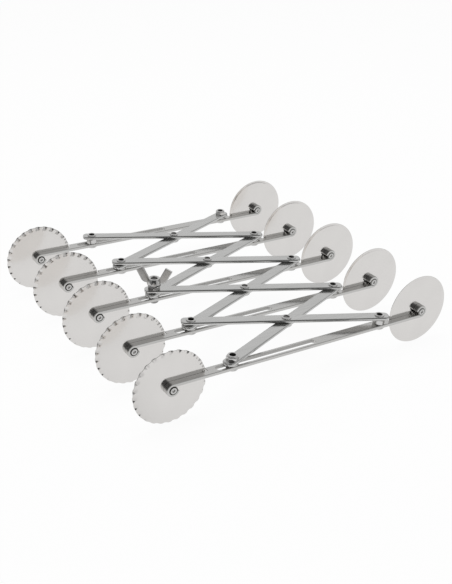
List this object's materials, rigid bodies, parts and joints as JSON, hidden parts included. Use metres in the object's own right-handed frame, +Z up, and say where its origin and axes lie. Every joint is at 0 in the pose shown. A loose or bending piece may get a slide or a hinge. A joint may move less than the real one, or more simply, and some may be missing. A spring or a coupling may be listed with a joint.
{
  "type": "expandable dough cutter",
  "caption": "Expandable dough cutter: slotted carriers on a folding lazy-tongs linkage, each with a fluted and a plain cutting wheel, locked by a wing nut.",
  "frame": {"origin": "on the table that the wheels stand on, under the middle of the part's box", "axes": "+X along the carriers from the fluted to the plain wheels, +Y from row 5 to row 1, +Z up"},
  "size_m": [0.2702, 0.2394, 0.0557],
  "materials": {
    "wheel_sheet": "satin stainless sheet",
    "bar_steel": "polished flat bar",
    "rivets": "bright",
    "nuts_washers": "plain",
    "wing_nut": "cast, bright"
  },
  "bodies": {
    "carrier_1": {"carrier_1": "bar_steel", "axle_pins_1": "rivets", "end_rivet_1": "rivets", "end_washer_1": "nuts_washers", "end_nut_1": "nuts_washers"},
    "carrier_2": {"carrier_2": "bar_steel", "axle_pins_2": "rivets", "end_rivet_2": "rivets", "end_washer_2": "nuts_washers"},
    "carrier_3": {"carrier_3": "bar_steel", "axle_pins_3": "rivets", "end_rivet_3": "rivets", "end_washer_3": "nuts_washers"},
    "carrier_4": {"carrier_4": "bar_steel", "axle_pins_4": "rivets", "end_rivet_4": "rivets", "end_washer_4": "nuts_washers"},
    "carrier_5": {"carrier_5": "bar_steel", "axle_pins_5": "rivets", "end_rivet_5": "rivets", "end_nut_5": "nuts_washers"},
    "upper_arm_1": {"upper_arm_1": "bar_steel", "cross_rivet_1": "rivets", "slide_rivet_1": "rivets", "slide_nut_1": "nuts_washers"},
    "lower_arm_1": {"lower_arm_1": "bar_steel"},
    "upper_arm_2": {"upper_arm_2": "bar_steel", "cross_rivet_2": "rivets", "slide_rivet_2": "rivets", "slide_washer_2": "nuts_washers"},
    "lower_arm_2": {"lower_arm_2": "bar_steel"},
    "upper_arm_3": {"upper_arm_3": "bar_steel", "cross_rivet_3": "rivets", "slide_washer_3": "nuts_washers", "wing_bolt": "wing_nut", "lock_nut": "nuts_washers"},
    "lower_arm_3": {"lower_arm_3": "bar_steel"},
    "upper_arm_4": {"upper_arm_4": "bar_steel", "cross_rivet_4": "rivets", "slide_rivet_4": "rivets", "slide_washer_4": "nuts_washers"},
    "lower_arm_4": {"lower_arm_4": "bar_steel", "slide_rivet_5": "rivets", "slide_washer_5": "nuts_washers", "slide_nut_5": "nuts_washers"},
    "fluted_wheel_1": {"fluted_wheel_1": "wheel_sheet"},
    "plain_wheel_1": {"plain_wheel_1": "wheel_sheet"},
    "fluted_wheel_2": {"fluted_wheel_2": "wheel_sheet"},
    "plain_wheel_2": {"plain_wheel_2": "wheel_sheet"},
    "fluted_wheel_3": {"fluted_wheel_3": "wheel_sheet"},
    "plain_wheel_3": {"plain_wheel_3": "wheel_sheet"},
    "fluted_wheel_4": {"fluted_wheel_4": "wheel_sheet"},
    "plain_wheel_4": {"plain_wheel_4": "wheel_sheet"},
    "fluted_wheel_5": {"fluted_wheel_5": "wheel_sheet"},
    "plain_wheel_5": {"plain_wheel_5": "wheel_sheet"},
    "spring_washer": {"spring_washer": "nuts_washers"},
    "wing_nut": {"wing_nut": "wing_nut"}
  },
  "joints": [
    {"name": "fold", "type": "hinge", "parent": "carrier_3", "child": "upper_arm_2", "pos_m": [0.06931, 0, 0.03042], "axis": [-0.0336, 0, -0.9994], "range_deg": [-15.5, 40.6]},
    {"name": "cross_2", "type": "hinge", "parent": "upper_arm_2", "child": "lower_arm_2", "pos_m": [0.00493, 0.0284, 0.03259], "axis": [-0.0336, 0, -0.9994], "range_deg": [-81.2, 31]},
    {"name": "row_2", "type": "hinge", "parent": "lower_arm_2", "child": "carrier_2", "pos_m": [0.06931, 0.0568, 0.03042], "axis": [-0.0336, 0, -0.9994], "range_deg": [-15.5, 40.6]},
    {"name": "reach_1", "type": "hinge", "parent": "carrier_2", "child": "upper_arm_1", "pos_m": [0.06931, 0.0568, 0.03042], "axis": [-0.0336, 0, -0.9994], "range_deg": [-15.5, 40.6]},
    {"name": "cross_1", "type": "hinge", "parent": "upper_arm_1", "child": "lower_arm_1", "pos_m": [0.00493, 0.0852, 0.03259], "axis": [-0.0336, 0, -0.9994], "range_deg": [-81.2, 31]},
    {"name": "row_1", "type": "hinge", "parent": "lower_arm_1", "child": "carrier_1", "pos_m": [0.06931, 0.1136, 0.03042], "axis": [-0.0336, 0, -0.9994], "range_deg": [-15.5, 40.6]},
    {"name": "reach_3", "type": "hinge", "parent": "carrier_3", "child": "lower_arm_3", "pos_m": [0.06931, 0, 0.03042], "axis": [-0.0336, 0, -0.9994], "range_deg": [-40.6, 15.5]},
    {"name": "cross_3", "type": "hinge", "parent": "lower_arm_3", "child": "upper_arm_3", "pos_m": [0.00493, -0.0284, 0.03259], "axis": [-0.0336, 0, -0.9994], "range_deg": [-31, 81.2]},
    {"name": "row_4", "type": "hinge", "parent": "upper_arm_3", "child": "carrier_4", "pos_m": [0.06931, -0.0568, 0.03042], "axis": [-0.0336, 0, -0.9994], "range_deg": [-40.6, 15.5]},
    {"name": "reach_4", "type": "hinge", "parent": "carrier_4", "child": "lower_arm_4", "pos_m": [0.06931, -0.0568, 0.03042], "axis": [-0.0336, 0, -0.9994], "range_deg": [-40.6, 15.5]},
    {"name": "cross_4", "type": "hinge", "parent": "lower_arm_4", "child": "upper_arm_4", "pos_m": [0.00493, -0.0852, 0.03259], "axis": [-0.0336, 0, -0.9994], "range_deg": [-31, 81.2]},
    {"name": "row_5", "type": "hinge", "parent": "upper_arm_4", "child": "carrier_5", "pos_m": [0.06931, -0.1136, 0.03042], "axis": [-0.0336, 0, -0.9994], "range_deg": [-40.6, 15.5]},
    {"name": "fluted_spin_1", "type": "hinge", "parent": "carrier_1", "child": "fluted_wheel_1", "pos_m": [-0.10763, 0.1136, 0.0275], "axis": [0, 1, 0], "continuous": true},
    {"name": "plain_spin_1", "type": "hinge", "parent": "carrier_1", "child": "plain_wheel_1", "pos_m": [0.10763, 0.1136, 0.0275], "axis": [0, 1, 0], "continuous": true},
    {"name": "fluted_spin_2", "type": "hinge", "parent": "carrier_2", "child": "fluted_wheel_2", "pos_m": [-0.10763, 0.0568, 0.0275], "axis": [0, 1, 0], "continuous": true},
    {"name": "plain_spin_2", "type": "hinge", "parent": "carrier_2", "child": "plain_wheel_2", "pos_m": [0.10763, 0.0568, 0.0275], "axis": [0, 1, 0], "continuous": true},
    {"name": "fluted_spin_3", "type": "hinge", "parent": "carrier_3", "child": "fluted_wheel_3", "pos_m": [-0.10763, 0, 0.0275], "axis": [0, 1, 0], "continuous": true},
    {"name": "plain_spin_3", "type": "hinge", "parent": "carrier_3", "child": "plain_wheel_3", "pos_m": [0.10763, 0, 0.0275], "axis": [0, 1, 0], "continuous": true},
    {"name": "fluted_spin_4", "type": "hinge", "parent": "carrier_4", "child": "fluted_wheel_4", "pos_m": [-0.10763, -0.0568, 0.0275], "axis": [0, 1, 0], "continuous": true},
    {"name": "plain_spin_4", "type": "hinge", "parent": "carrier_4", "child": "plain_wheel_4", "pos_m": [0.10763, -0.0568, 0.0275], "axis": [0, 1, 0], "continuous": true},
    {"name": "fluted_spin_5", "type": "hinge", "parent": "carrier_5", "child": "fluted_wheel_5", "pos_m": [-0.10763, -0.1136, 0.0275], "axis": [0, 1, 0], "continuous": true},
    {"name": "plain_spin_5", "type": "hinge", "parent": "carrier_5", "child": "plain_wheel_5", "pos_m": [0.10763, -0.1136, 0.0275], "axis": [0, 1, 0], "continuous": true},
    {"name": "nut_lift", "type": "slide", "parent": "upper_arm_3", "child": "spring_washer", "axis": [0.0336, 0, 0.9994], "range_m": [0, 0.0008]},
    {"name": "wing_nut_turn", "type": "hinge", "parent": "spring_washer", "child": "wing_nut", "pos_m": [-0.05918, 0, 0.04275], "axis": [0.0336, 0, 0.9994], "range_deg": [0, 360]}
  ],
  "couplings": [
    {"joint": "cross_2", "follows": "fold", "ratio": -2},
    {"joint": "row_2", "follows": "fold", "ratio": 1},
    {"joint": "reach_1", "follows": "fold", "ratio": 1},
    {"joint": "cross_1", "follows": "fold", "ratio": -2},
    {"joint": "row_1", "follows": "fold", "ratio": 1},
    {"joint": "reach_3", "follows": "fold", "ratio": -1},
    {"joint": "cross_3", "follows": "fold", "ratio": 2},
    {"joint": "row_4", "follows": "fold", "ratio": -1},
    {"joint": "reach_4", "follows": "fold", "ratio": -1},
    {"joint": "cross_4", "follows": "fold", "ratio": 2},
    {"joint": "row_5", "follows": "fold", "ratio": -1},
    {"joint": "nut_lift", "follows": "wing_nut_turn", "m_per_rad": 0.000127}
  ]
}
